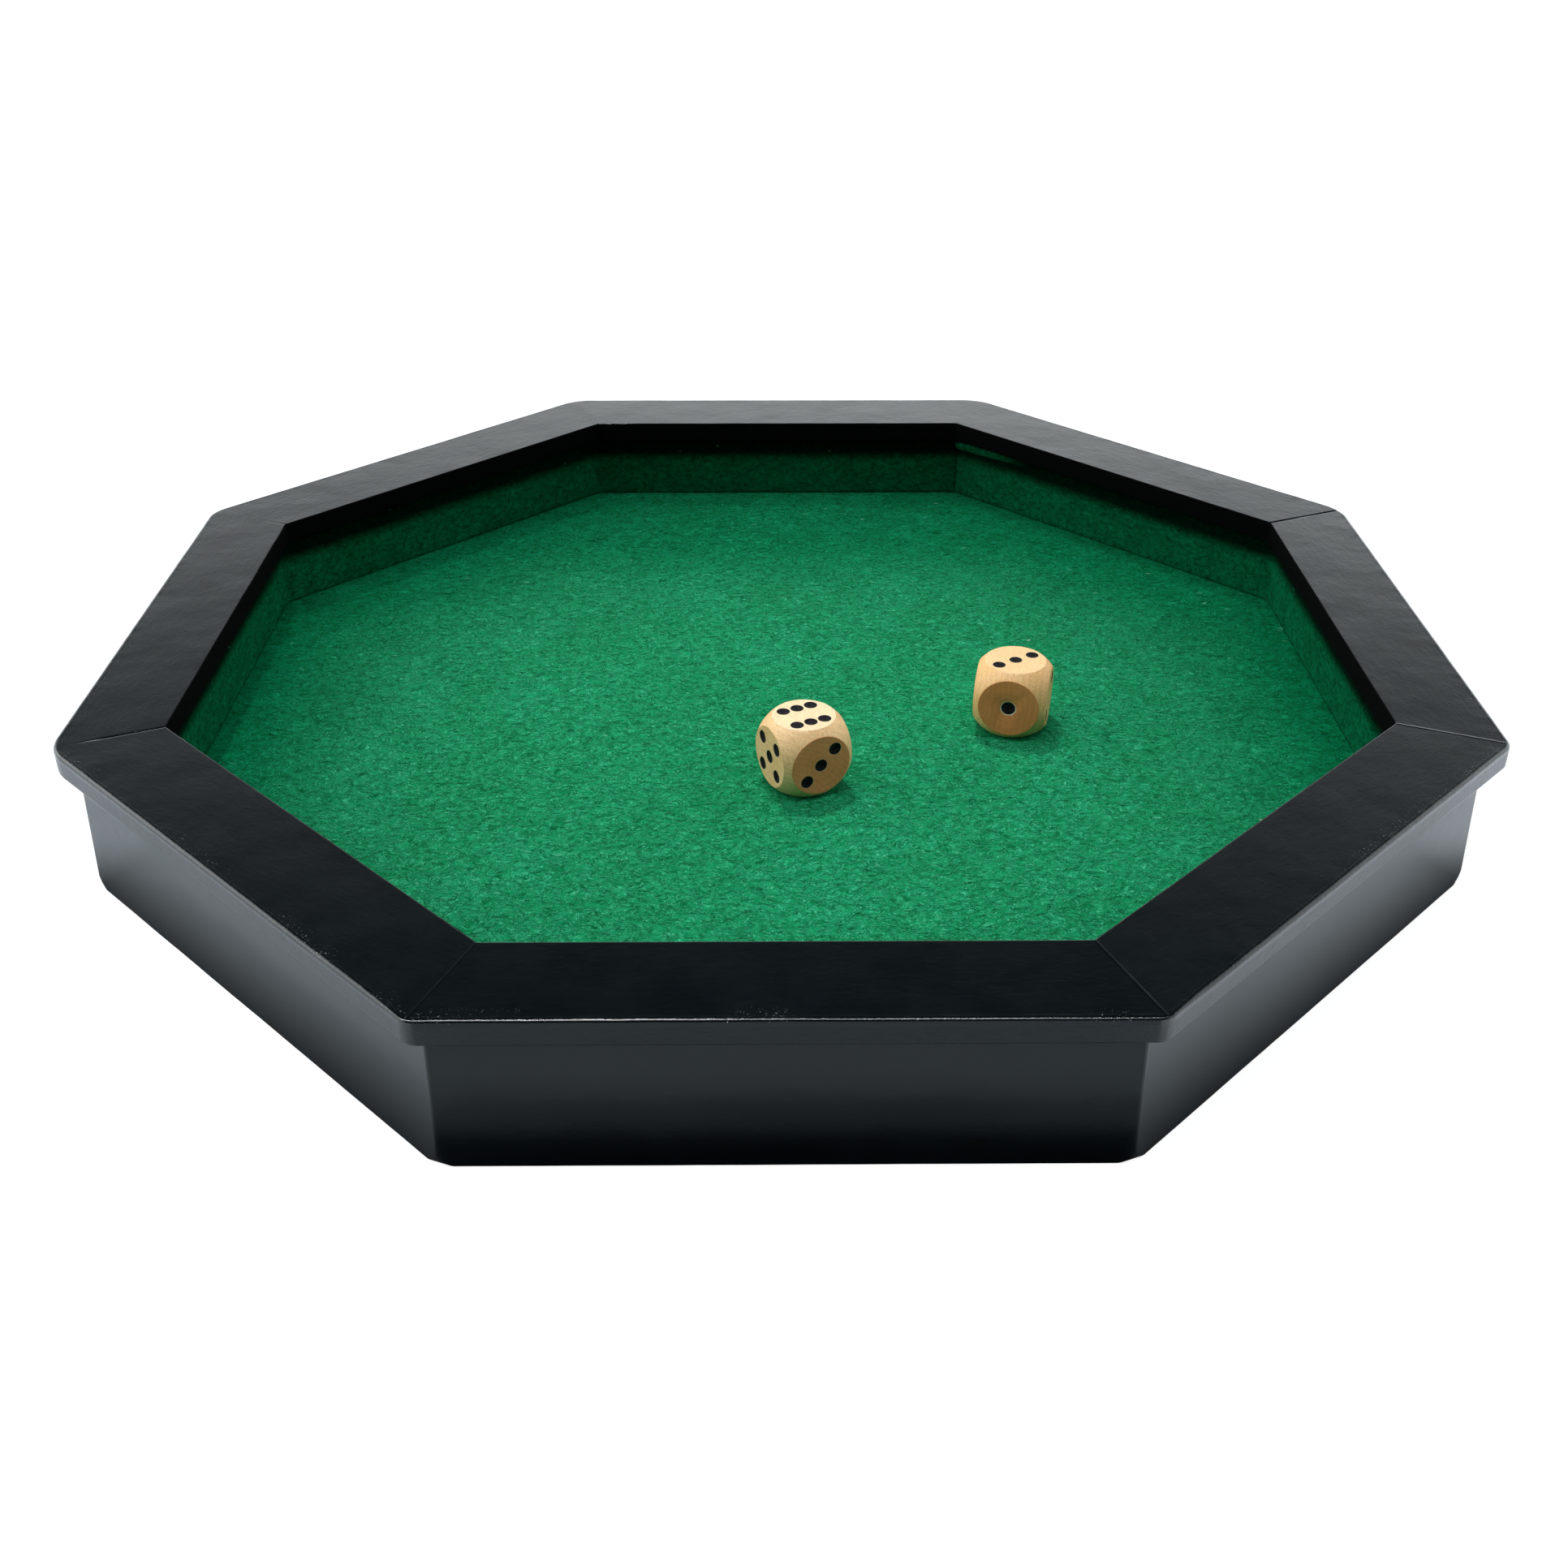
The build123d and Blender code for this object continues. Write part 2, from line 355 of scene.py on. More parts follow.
# %% [markdown]
# ## Black lacquer
# The wood is brushed with thin black satin paint. It is almost without colour of its own: what
# the eye reads is the gloss, the fine ripple that the brush left along each rail, the grain that
# telegraphs through, pits in the rim's outer side, and pale specks and chips by its top edge. One
# paint for all would do, but each side is brushed its own way and has a thicker or thinner coat,
# so there are eight. The ripple and the grain are a bump, because they are hundredths of a
# millimetre high, and the roughness is cloudy, so reflections break up softly.

# %% Lacquer
def lacquer_finish(name, along, gloss):
    """Satin black paint, brushed in the direction along. Gloss is its index of refraction."""
    material, place = begin_finish(name)
    turned = place.stretched((1, 1, 1), turn=(0, 0, -along))
    ripple = turned.stretched((0.35, 0.85, 0.85)).cloud(1.0, 3, 0.55, 0.5)
    pores = place.cloud(1.5, 2, 0.6)
    swell = place.cloud(0.08, 2)
    east, north = place.part("X").of("ABSOLUTE"), place.part("Y").of("ABSOLUTE")
    rise = place.part("Z")
    out = east.at_least(north).at_least((east + north) * math.sqrt(0.5))
    edge = out.rise(RIM_OUT / MM - 1.4, RIM_OUT / MM - 0.7)
    under_edge = 1 - rise.rise(RIM_TOP / MM - 1.6, RIM_TOP / MM - 0.9)
    on_side = edge * rise.rise(RIM_UNDER / MM, RIM_UNDER / MM + 0.6) * under_edge
    pits = turned.stretched((0.45, 1.0, 1.7)).cloud(1.1, 2, 0.6).rise(0.57, 0.64) * on_side
    height = ripple * 0.34 + pores * (edge * 0.6 + 0.16) + swell * 1.4 - pits * 0.35
    dust_cells = place.node("TexVoronoi", {}, {"Vector": place, "Scale": 0.11})
    cell_colour = dust_cells.sibling("Color")
    chosen = cell_colour.node("SeparateColor", {}, {"Color": cell_colour}).rise(0.82, 0.84)
    speck = (1 - dust_cells.rise(0.010, 0.022)) * chosen
    by_top = rise.rise(RIM_TOP / MM - 0.9, RIM_TOP / MM - 0.4)
    near_edge = out.rise(RIM_OUT / MM - 4.0, RIM_OUT / MM - 1.5) * by_top
    chips = place.cloud(3.2, 2, 0.7).rise(0.68, 0.70) * near_edge * place.cloud(0.05, 2).rise(0.50, 0.58)
    speck = speck.at_least(chips)
    cloudy = place.cloud(0.09, 4, 0.6)
    paint = cloudy.rise(0.35, 0.65).blend((0.0004, 0.0028, 0.0040), (0.0016, 0.0044, 0.0058))
    end_finish(place, {
        "Base Color": speck.blend(paint, (0.30, 0.32, 0.33)),
        "Roughness": 0.07 + cloudy * 0.09 + on_side * 0.22,
        "IOR": gloss,
        "Normal": height.bump(0.055 * MM),
    })
    return material


def thin_coat_finish():
    """The thin matt coat on the inner edge of the rim, where the brush hardly reached."""
    material, place = begin_finish("thin_coat")
    patchy = place.cloud(0.5, 3, 0.6)
    end_finish(place, {
        "Base Color": patchy.rise(0.3, 0.7).blend((0.0002, 0.0004, 0.0004), (0.0007, 0.0011, 0.0010)),
        "Roughness": 0.75 + patchy * 0.2,
        "Specular IOR Level": 0.03,
        "Normal": patchy.bump(0.05 * MM, 0.6),
    })
    return material


GLOSS = (1.50, 1.54, 1.43, 1.44, 1.49, 1.46, 1.48, 1.58)  # in the order of SIDE_NAMES
lacquers = [lacquer_finish(f"lacquer_{name}", -side * SIDE_TURN, GLOSS[side])
            for side, name in enumerate(SIDE_NAMES)]
thin_coat = thin_coat_finish()
print(len(lacquers), "lacquer finishes, one for each brushing direction, and one thin coat")

# %% [markdown]
# ## Sweeping between two mitres
# A side of an octagon could be a straight bar cut at both ends. Here it is swept instead: a
# section is extruded in steps by spin with no angle, while x only counts from -1 at one mitre to
# 1 at the other. Then each point slides out to its place: x becomes its distance from the middle
# of the tray times the mitre's slope, so both ends lie exactly in the mitre planes, and the
# points of a rounded corner are drawn in along the same rays.

# %% Sweep
def sweep(bm, steps):
    """Extrudes the section in bm, which stands at x = -1, to x = 1."""
    parts = bm.verts[:] + bm.edges[:] + bm.faces[:]
    bmesh.ops.spin(bm, geom=parts, cent=(0, 0, 0), axis=(1, 0, 0), dvec=(2 / steps, 0, 0),
                   angle=0.0, steps=steps, use_merge=False, use_duplicate=False)
    bmesh.ops.recalc_face_normals(bm, faces=bm.faces[:])


END_CROWDING = 0.72  # share of the steps' spacing that bunches towards the ends


def crowd(slide):
    """Bunches the steps near both mitres, where the corners are rounded."""
    return slide * (1 - END_CROWDING) + math.sin(slide * math.pi / 2) * END_CROWDING


def corner_pull(slide, apothem, radius):
    """How far a rounded corner draws the outline in, on the ray that crosses the side at slide."""
    if abs(slide) <= 1 - radius / apothem:
        return 0.0
    ray = math.atan(slide * MITRE_SLOPE)
    centre = (apothem - radius) / math.cos(SIDE_TURN / 2)
    off = SIDE_TURN / 2 - abs(ray)
    reach = centre * math.cos(off) + math.sqrt(max(radius ** 2 - (centre * math.sin(off)) ** 2, 0))
    return reach * math.cos(ray) - apothem


def smooth_step(value, low, high):
    share = min(max((value - low) / (high - low), 0), 1)
    return share * share * (3 - 2 * share)


def wobble(place, size, height):
    """Noise up to height, in swells about size across."""
    return height * noise.noise(place / size)


print("sweep helpers are ready")

# %% [markdown]
# ## Rim rails
# Each rail is a flat strip of wood with its top edges rounded over by hand and then painted, so
# the edges are never quite straight. A bevelled bar would be too even. Here the section starts as
# one grid cell whose corner points are bevelled: wide outside, narrow inside. After the sweep its
# points are nudged by noise of a few hundredths of a millimetre, each corner is rounded by its own
# radius, and at the joints the paint sinks into a fine groove or stands up in a fine ridge.

# %% Section of a rail
RIM_OUTER_EASE = 0.9 * MM
RIM_INNER_EASE = 0.25 * MM
RIM_LOWER_EASE = 0.3 * MM


def rail_section(bm):
    """The rounded section across a rail, standing at x = -1."""
    bmesh.ops.create_grid(bm, x_segments=1, y_segments=1, size=0.5)
    width, thickness = RIM_OUT - RIM_IN, RIM_TOP - RIM_UNDER
    bmesh.ops.scale(bm, verts=bm.verts, vec=(width, thickness, 1))
    stand = Matrix.Rotation(math.radians(90), 4, "Z") @ Matrix.Rotation(math.radians(90), 4, "X")
    bmesh.ops.transform(bm, verts=bm.verts, matrix=stand)
    middle = Vector((-1, -(RIM_OUT + RIM_IN) / 2, (RIM_TOP + RIM_UNDER) / 2))
    bmesh.ops.translate(bm, verts=bm.verts, vec=middle)
    bm.edges.ensure_lookup_table()
    top = [edge for edge in bm.edges if all(v.co.z > RIM_TOP - 1e-6 for v in edge.verts)]
    outer = [edge for edge in bm.edges if all(v.co.y < 1e-6 - RIM_OUT for v in edge.verts)]
    bmesh.ops.subdivide_edges(bm, edges=top, cuts=8)
    bmesh.ops.subdivide_edges(bm, edges=outer, cuts=4)
    # the outermost new points lie close to the roundings, which keeps the flats flat
    across = sorted((v for v in bm.verts if v.co.z > RIM_TOP - 1e-6), key=lambda v: v.co.y)[1:-1]
    first, last = RIM_OUTER_EASE + 0.2 * MM - RIM_OUT, -RIM_IN - RIM_INNER_EASE - 0.2 * MM
    for count, v in enumerate(across):
        v.co.y = first + (last - first) * count / (len(across) - 1)
    upright = sorted((v for v in bm.verts if v.co.y < 1e-6 - RIM_OUT), key=lambda v: v.co.z)[1:-1]
    first, last = RIM_UNDER + RIM_LOWER_EASE + 0.2 * MM, RIM_TOP - RIM_OUTER_EASE - 0.2 * MM
    for count, v in enumerate(upright):
        v.co.z = first + (last - first) * count / (len(upright) - 1)
    corners = {
        (-RIM_OUT, RIM_TOP): (RIM_OUTER_EASE, 8),
        (-RIM_IN, RIM_TOP): (RIM_INNER_EASE, 5),
        (-RIM_OUT, RIM_UNDER): (RIM_LOWER_EASE, 3),
        (-RIM_IN, RIM_UNDER): (RIM_LOWER_EASE / 2, 1),
    }
    for (y, z), (ease, segments) in corners.items():
        near = [v for v in bm.verts if (v.co - Vector((-1, y, z))).length < 1e-6]
        bmesh.ops.bevel(bm, geom=near, offset=ease, segments=segments, profile=0.5,
                        affect="VERTICES", material=-1, clamp_overlap=True)


print(f"a rail is {(RIM_OUT - RIM_IN) / MM:.1f} mm wide")

# %% Joints and edges of the rails
CRISP_SHARE = 0.6  # of the outer ease along the front rail, where the edge is crisper
# Each corner lies between a side and the next. A joint has a depth in mm, below 0 where the paint
# stands up, and the share of its length that shows, from the inner end.
CORNER_RADII = (4, 12, 8, 11, 11, 11, 4.5, 4)  # mm
JOINTS = ((-0.03, 1.0), (0.22, 0.64), (0.05, 0.25), (0.01, 1.0),
          (0.01, 1.0), (0.25, 1.0), (-0.06, 1.0), (-0.045, 1.0))


def joint_drop(slide, out, side, turned):
    """How far the paint sinks at the joint that a point is near."""
    joint = side if slide < 0 else (side - 1) % len(SIDE_NAMES)
    depth, share = JOINTS[joint]
    along = (out - RIM_IN) / (RIM_OUT - RIM_IN)
    gap = (1 - abs(slide)) * out * MITRE_SLOPE
    fade = 1 - smooth_step(along, share - 0.16, share + 0.02) if share < 1 else 1
    broken = 0.65 + 0.9 * noise.noise(turned / (2.2 * MM))
    return depth * MM * fade * broken * math.exp(-(gap / (0.22 * MM)) ** 2)


def ease_share(side, slide):
    """Share of the outer ease on a rail: least on the front one, from whose mitres it grows."""
    if side == 0:
        return CRISP_SHARE
    meets_front = (side == 1 and slide > 0) or (side == len(SIDE_NAMES) - 1 and slide < 0)
    return 1 - (1 - CRISP_SHARE) * smooth_step(abs(slide), 0.80, 0.98) if meets_front else 1


print(len(JOINTS), "joints and corners")

# %% Rim rails
RAIL_STEPS = 220


def make_rail(side):
    bm = bmesh.new()
    rail_section(bm)
    sweep(bm, RAIL_STEPS)
    turn_side = Matrix.Rotation(-side * SIDE_TURN, 4, "Z")
    for v in bm.verts:
        slide = crowd(v.co.x)
        out, z = -v.co.y, v.co.z
        if min(out - RIM_OUT, z - RIM_TOP) > -RIM_OUTER_EASE - 1e-7:
            share = ease_share(side, slide)
            out, z = RIM_OUT - (RIM_OUT - out) * share, RIM_TOP - (RIM_TOP - z) * share
        weight = smooth_step(out, RIM_IN + 2 * MM, RIM_OUT - 2.5 * MM)
        radius = CORNER_RADII[side if slide < 0 else side - 1] * MM
        out += corner_pull(slide, RIM_OUT, radius) * weight
        v.co = (slide * MITRE_SLOPE * out, -out, z)
        turned = turn_side @ v.co
        at_outer = smooth_step(-v.co.y, RIM_OUT - 3 * MM, RIM_OUT - 1 * MM)
        at_inner = 1 - smooth_step(out, RIM_IN, RIM_IN + 1.2 * MM)
        top_share = smooth_step(z, RIM_UNDER, RIM_TOP)
        sway = wobble(turned, 7 * MM, 0.05 * MM) + wobble(turned, 1.9 * MM, 0.022 * MM)
        v.co.y += sway * (at_outer + at_inner * 0.5) * (0.4 + 0.6 * top_share)
        bob = wobble(turned, 11 * MM, 0.03 * MM) + at_outer * wobble(turned, 2.3 * MM, 0.018 * MM)
        v.co.z += top_share * bob - 0.03 * MM * top_share
        v.co.z -= top_share * joint_drop(slide, out, side, turned)
    bm.normal_update()
    for face in bm.faces:
        face.material_index = 1 if face.normal.y > 0.45 else 0
    bmesh.ops.transform(bm, verts=bm.verts, matrix=turn_side)
    rail = mesh_object(f"rail_{SIDE_NAMES[side]}", bm, lacquers[side], thin_coat,
                       smooth_angle=math.radians(40))
    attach(rail, "tray")
    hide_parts(f"rim_rail_{SIDE_NAMES[side]}")
    return rail


rails = [make_rail(side) for side in range(len(SIDE_NAMES))]
print(len(rails), "rails of", len(rails[0].data.polygons), "faces")

# %% [markdown]
# ## Boards
# The boards lean out a little towards the foot, hold the base panel in a groove, and are sanded
# round where their mitred corners meet the table. The section is drawn from a few points, filled
# by contextual_create, and its outer edge is divided so that the sweep can carry slow waves.

# %% Boards
BOARD_LEAN = 1.0 * MM
BOARD_CORNER_RADIUS = 0.8 * MM
FOOT_EASE_HEIGHT = 5.0 * MM
FOOT_EASE_DEPTH = 1.5 * MM
GROOVE_DEPTH = 5.0 * MM
GROOVE_PLAY = 0.1 * MM
BOARD_STEPS = 130


def board_section(bm):
    """The section across a board with its groove, standing at x = -1."""
    top = board_high.z
    outline = [(FOOT_OUT, 0), (FOOT_OUT - BOARD_LEAN, top), (INSIDE, top),
               (INSIDE, base_high.z + GROOVE_PLAY), (INSIDE + GROOVE_DEPTH, base_high.z + GROOVE_PLAY),
               (INSIDE + GROOVE_DEPTH, base_low.z), (INSIDE, base_low.z), (INSIDE, 0)]
    points = [bm.verts.new((-1, -out, z)) for out, z in outline]
    edges = [bm.edges.new((points[i], points[(i + 1) % len(points)])) for i in range(len(points))]
    bmesh.ops.contextual_create(bm, geom=edges)
    bmesh.ops.subdivide_edges(bm, edges=[edges[0]], cuts=50)
    for out, z, ease in ((FOOT_OUT, 0, 0.5 * MM), (INSIDE, 0, 0.3 * MM)):
        near = [v for v in bm.verts if (v.co - Vector((-1, -out, z))).length < 1e-6]
        bmesh.ops.bevel(bm, geom=near, offset=ease, segments=4, profile=0.5,
                        affect="VERTICES", material=-1, clamp_overlap=True)


def foot_reach(z):
    """How far from the middle a corner may reach at a height, where the foot is sanded round."""
    corner = FOOT_OUT / math.cos(SIDE_TURN / 2)
    if z >= FOOT_EASE_HEIGHT:
        return corner
    return corner - FOOT_EASE_DEPTH * (1 - math.sqrt(1 - (1 - max(z, 0) / FOOT_EASE_HEIGHT) ** 2))


def make_board(side):
    bm = bmesh.new()
    board_section(bm)
    sweep(bm, BOARD_STEPS)
    turn_side = Matrix.Rotation(-side * SIDE_TURN, 4, "Z")
    for v in bm.verts:
        slide = crowd(v.co.x)
        out, z = -v.co.y, v.co.z
        outer = smooth_step(out, FOOT_OUT - 3 * MM, FOOT_OUT - 1.6 * MM)
        if outer > 0:
            out += corner_pull(slide, out, BOARD_CORNER_RADIUS) * outer
            ray = math.cos(math.atan(slide * MITRE_SLOPE))
            out = min(out, foot_reach(z) * ray)
        v.co = (slide * MITRE_SLOPE * out, -out, z)
        turned = turn_side @ v.co
        sway = wobble(turned, 14 * MM, 0.05 * MM) + wobble(turned, 3 * MM, 0.012 * MM)
        v.co.y += outer * sway + outer * 0.03 * MM
    bmesh.ops.transform(bm, verts=bm.verts, matrix=turn_side)
    board = mesh_object(f"board_{SIDE_NAMES[side]}", bm, lacquers[side], smooth_angle=math.radians(40))
    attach(board, "tray")
    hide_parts(f"wall_board_{SIDE_NAMES[side]}")
    return board


boards = [make_board(side) for side in range(len(SIDE_NAMES))]
print(len(boards), "boards of", len(boards[0].data.polygons), "faces")

# %% [markdown]
# ## Base panel
# Seen only from below, the base is a sheet of hardboard with one thin coat of matt paint. Its
# CAD solid has the right shape, so it stays and only gets the finish: fine pressed fibres in the
# bump and the brown board just showing where the paint is thin.

# %% Base panel
board_paint, place = begin_finish("painted_hardboard")
fibres = place.stretched((0.5, 1.2, 1)).cloud(1.6, 5, 0.65, 0.5)
thin = place.cloud(0.05, 4, 0.6).rise(0.52, 0.72)
paint = fibres.rise(0.3, 0.7).blend((0.012, 0.011, 0.011), (0.030, 0.028, 0.026))
end_finish(place, {
    "Base Color": (thin * 0.35).blend(paint, (0.090, 0.052, 0.030)),
    "Roughness": 0.62 + fibres * 0.2,
    "Normal": fibres.bump(0.12 * MM, 0.8),
})
base_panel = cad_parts["base_panel"]
base_panel.data.materials.clear()
base_panel.data.materials.append(board_paint)
print("base panel painted")

# %% [markdown]
# ## Felt
# Felt is a mat of short wool fibres that lie mostly one way. Seen close it is a pattern of soft
# streaks, two or three millimetres long, in a few greens, with single lighter hairs on top. Hairs
# on every square millimetre would be millions of faces, so most of them are drawn: the colour is
# noise along the lie of the nap, bent by slower noise, and a fibre is a narrow ridge where another
# noise crosses its middle value. The same ridges raise the surface, so light catches them.

# %% Felt finish
def felt_finish(name, shades, fibre_shade, fleck_shade, follow_strip=False):
    """Green felt. On the strip the streaks follow its own map instead of the room."""
    material, place = begin_finish(name)
    if follow_strip:
        uv = place.node("UVMap", {"uv_map": "strip"}, {})
        place = uv.node("VectorMath", {"operation": "SCALE"}, {0: uv, "Scale": 1 / MM})
    bend = place.node("TexNoise", {}, {"Vector": place, "Scale": 0.25, "Detail": 3}, "Color")
    bent = place.node("VectorMath", {"operation": "MULTIPLY_ADD"}, {0: bend, 1: (4, 4, 0), 2: place})
    lie = bent.stretched((0.62, 0.90, 0.90)).cloud(1.0, 3, 0.6, 0.3)
    tangle = bent.stretched((0.85, 1.15, 1.15)).cloud(0.95, 2, 0.6, 0.8)
    curls = bent.stretched((0.85, 1.15, 1.15), shift=(40, 40, 0)).cloud(1.7, 2, 0.6, 0.6)
    long_fibres = 1 - (tangle - 0.5).of("ABSOLUTE").rise(0, 0.065)
    short_fibres = 1 - (curls - 0.5).of("ABSOLUTE").rise(0, 0.080)
    strand = (long_fibres * 0.55 + short_fibres * 0.50).rise(0.20, 1.0)
    deep = strand.blend(lie.rise(0.30, 0.70).blend(*shades), fibre_shade)
    patches = place.cloud(0.045, 3, 0.55)
    tone = patches.rise(0.25, 0.75).blend((0.90, 0.93, 0.90), (1.08, 1.05, 1.08))
    colour = deep.tinted(tone)
    run, rise = place.part("X"), place.part("Y")
    mottle = place.stretched((0.6, 1, 1)).cloud(0.30, 3, 0.6) - 0.5
    if follow_strip:
        colour = colour.tinted((mottle + 0.5).blend((0.5, 0.5, 0.5), (1.5, 1.5, 1.5)))
        # painted shade: the top of the strip is coloured almost black where the rail shades it, except
        # for its cut edge beside the seam
        cut_edge = rise.rise(14.2, 14.8) * (1 - run.rise(10, 26))
        colour = (rise.rise(9.2, 13.2) * 0.93 * (1 - cut_edge)).blend(colour, (0, 0.002, 0.001))
    else:
        # painted shade: the felt is coloured darker and less red near the walls
        east = run.of("ABSOLUTE")
        slant = (east + rise) * math.sqrt(0.5)
        wall_shade_mask = east.rise(84, 126).at_least(rise.rise(52, 92) * 0.8)
        wall_shade_mask = wall_shade_mask.at_least(slant.rise(72, 116) * 0.9)
        colour = colour.tinted(wall_shade_mask.blend((1.0, 1.0, 1.0), (0.08, 0.72, 0.68)))
        worn = mottle * (wall_shade_mask * 0.5 + 0.3) + 0.5
        colour = colour.tinted(worn.blend((0.4, 0.5, 0.5), (1.6, 1.5, 1.5)))
    cells = place.node("TexVoronoi", {}, {"Vector": bent.stretched((0.45, 1.0, 1.0)), "Scale": 0.42})
    cell_colour = cells.sibling("Color")
    chosen = cell_colour.node("SeparateColor", {}, {"Color": cell_colour})
    fleck = (1 - cells.rise(0.05, 0.16)) * chosen.rise(0.80, 0.84) * 0.55
    lint = (1 - cells.rise(0.04, 0.10)) * (1 - chosen.rise(0.006, 0.008))
    height = lie * 0.55 + long_fibres * 0.22 + short_fibres * 0.18
    end_finish(place, {
        "Base Color": lint.blend(fleck.blend(colour, fleck_shade), (0.55, 0.70, 0.58)),
        "Roughness": 0.95,
        "Specular IOR Level": 0.02,
        "Normal": height.bump(0.28 * MM),
    })
    return material


floor_green = felt_finish("felt_floor", ((0.0001, 0.117, 0.031), (0.0065, 0.280, 0.102)),
                          (0.055, 0.450, 0.235), (0.12, 0.52, 0.30))
# painted shade: the strip's greens are darker than the floor's, as the upright felt gets less light
painted_shade_strip_green = felt_finish("felt_strip", ((0.0001, 0.050, 0.017), (0.0008, 0.150, 0.055)),
                          (0.003, 0.190, 0.080), (0.02, 0.26, 0.13), True)
hair_green = felt_finish("felt_hair", ((0.0040, 0.190, 0.068), (0.0280, 0.430, 0.205)),
                         (0.075, 0.500, 0.290), (0.20, 0.60, 0.38))
print("felt finishes:", floor_green.name, painted_shade_strip_green.name)

# %% [markdown]
# ## Felt on the floor
# The sheet is cut to the octagon and glued flat. A fine grid is trimmed by eight planes, as with
# a knife along a rule, and its points rise and fall by about a tenth of a millimetre, except
# beside the walls, where the strip presses it flat. The boundary is pulled down and closed.

# %% Floor felt
FELT_CELLS = 226
felt_half = felt_high.x


def outward(side):
    """The direction that a side faces."""
    angle = math.radians(-90) - side * SIDE_TURN
    return Vector((math.cos(angle), math.sin(angle), 0))


def nap_height(place):
    """Height of the felt's surface over a point, below its highest hairs."""
    lain = Vector((place.x * 0.7, place.y, 0))
    to_wall = felt_half - max(place.dot(outward(side)) for side in range(len(SIDE_NAMES)))
    free = smooth_step(to_wall, 4 * MM, 9 * MM)
    return (wobble(lain, 1.6 * MM, 0.10 * MM) + wobble(place, 30 * MM, 0.12 * MM) - 0.16 * MM) * free


bm = bmesh.new()
bmesh.ops.create_grid(bm, x_segments=FELT_CELLS, y_segments=FELT_CELLS, size=felt_half)
for side in range(len(SIDE_NAMES)):
    knife = outward(side)
    bmesh.ops.bisect_plane(bm, geom=bm.verts[:] + bm.edges[:] + bm.faces[:], dist=1e-7,
                           plane_co=knife * felt_half, plane_no=knife, clear_outer=True)
for v in bm.verts:
    v.co.z = FLOOR_TOP + nap_height(Vector((v.co.x, v.co.y, 0)))
rim_edges = [edge for edge in bm.edges if edge.is_boundary]
skirt = bmesh.ops.extrude_edge_only(bm, edges=rim_edges)["geom"]
for v in skirt:
    if isinstance(v, bmesh.types.BMVert):
        v.co.z = felt_low.z
loose = [part for part in skirt if isinstance(part, bmesh.types.BMEdge) and part.is_boundary]
bmesh.ops.edgeloop_fill(bm, edges=loose)
bmesh.ops.recalc_face_normals(bm, faces=bm.faces[:])
felt_floor = mesh_object("felt_floor", bm, floor_green, smooth_angle=math.radians(50))
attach(felt_floor, "tray")
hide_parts("floor_felt")
print("floor felt of", len(felt_floor.data.polygons), "faces")

# %% [markdown]
# ## Felt round the walls
# One long strip stands on the floor felt, glued to the boards, and its ends butt in the corner at
# the back right. It could be eight flat pieces, but the real strip bends round each corner in a
# small radius, sways a little where the glue is thin, has a knife-cut top edge that is not
# straight, and peels off there beside the seam. So a long grid is laid along the octagon, and
# Solidify gives it its thickness.

# %% Path of the strip
STRIP_CORNER_RADIUS = 3.0 * MM
SEAM_CORNER = 4  # the corner between the back board and the next one clockwise
CAD_PLAY, GLUE_LINE = 0.1 * MM, 0.05 * MM
strip_face = INSIDE - CAD_PLAY - GLUE_LINE  # where the back of the strip is
straight = 2 * strip_face * MITRE_SLOPE - 2 * STRIP_CORNER_RADIUS * MITRE_SLOPE  # between bends
STRIP_LENGTH = len(SIDE_NAMES) * straight + 2 * math.pi * STRIP_CORNER_RADIUS


def along_strip(run):
    """Place and outward direction on the strip's back, run metres clockwise from the seam."""
    bend = STRIP_CORNER_RADIUS * SIDE_TURN
    # the seam is in the middle of a corner's bend
    run = run + bend / 2
    turn_count, rest = divmod(run, straight + bend)
    side = (SEAM_CORNER + 1 + int(turn_count)) % len(SIDE_NAMES)
    # each period starts with the bend before its side
    face = outward(side)
    clockwise = Vector((face.y, -face.x, 0))
    start = face * strip_face - clockwise * (straight / 2)
    if rest >= bend:
        return start + clockwise * (rest - bend), face
    hinge = start - face * STRIP_CORNER_RADIUS
    angle = (bend - rest) / STRIP_CORNER_RADIUS
    spoke = Matrix.Rotation(angle, 3, "Z") @ face
    return hinge + spoke * STRIP_CORNER_RADIUS, spoke


print("the strip is", round(STRIP_LENGTH / MM), "mm long")

# %% Wall felt
STRIP_THICKNESS = 1.3 * MM
STRIP_CELLS_LONG, STRIP_CELLS_HIGH = 1000, 20
SEAM_GAP = 0.35 * MM
PLAY_UNDER_RAILS = 0.35 * MM
LEAST_INWARD = 0.2 * MM  # from the path to the strip, which sways further in
PEEL, PEEL_REACH = 1.8 * MM, 15 * MM  # of the top edge from the wall, and along it from the seam

